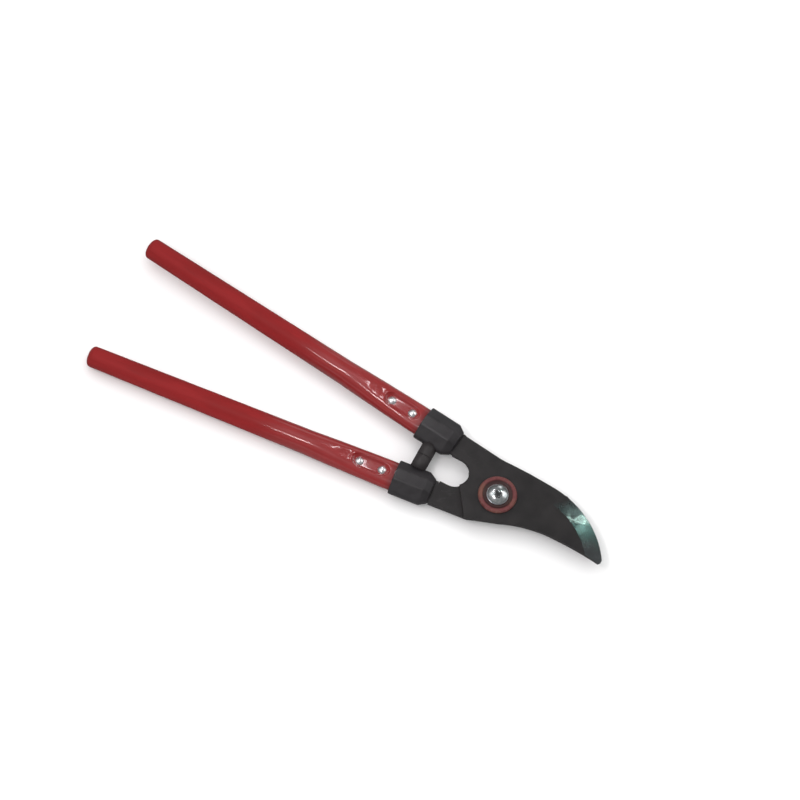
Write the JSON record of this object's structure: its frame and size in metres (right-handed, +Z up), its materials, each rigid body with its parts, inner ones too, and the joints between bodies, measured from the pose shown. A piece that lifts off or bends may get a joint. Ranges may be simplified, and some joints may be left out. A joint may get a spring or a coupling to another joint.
{
  "type": "bypass lopper",
  "caption": "Bypass lopper with a curved bevelled blade over a hook blade, red sleeved tube handles, black ferrules and bumpers, and a domed pivot bolt in a cup.",
  "frame": {"origin": "on the pivot axis, at the rear end face of the pivot bolt, which is the lowest point of the closed tool lying on its back", "axes": "+X from the handle ends to the blade tip, midway between the handles; +Y towards the handle that carries the cutting blade; +Z up along the pivot bolt, towards its domed head"},
  "size_m": [0.4977, 0.1369, 0.0281],
  "materials": {
    "blade_steel": "dark satin coating with a bright ground edge",
    "bright_steel": "bright plated",
    "plated_steel": "zinc plated",
    "cup_red": "satin",
    "tube_steel": "mill finish",
    "handle_red": "glossy vinyl",
    "plug_black": "matt",
    "ferrule_black": "satin",
    "rubber_black": "matt"
  },
  "bodies": {
    "hook_arm": {"hook_blade": "blade_steel", "pivot_bolt": "bright_steel", "pivot_cup": "cup_red", "head_washer": "plated_steel", "rear_washer": "plated_steel", "spring_washer": "plated_steel", "pivot_nut": "plated_steel", "lower_tube": "tube_steel", "lower_sleeve": "handle_red", "lower_end_plug": "plug_black", "lower_ferrule": "ferrule_black", "lower_bumper": "rubber_black", "lower_rivet_front": "bright_steel", "lower_rivet_rear": "bright_steel"},
    "blade_arm": {"cutting_blade": "blade_steel", "upper_tube": "tube_steel", "upper_sleeve": "handle_red", "upper_end_plug": "plug_black", "upper_ferrule": "ferrule_black", "upper_bumper": "rubber_black", "upper_rivet_front": "bright_steel", "upper_rivet_rear": "bright_steel"}
  },
  "joints": [
    {"name": "blade_pivot", "type": "hinge", "parent": "hook_arm", "child": "blade_arm", "pos_m": [0, 0, 0.01455], "axis": [0, 0, -1], "range_deg": [0, 70]}
  ]
}
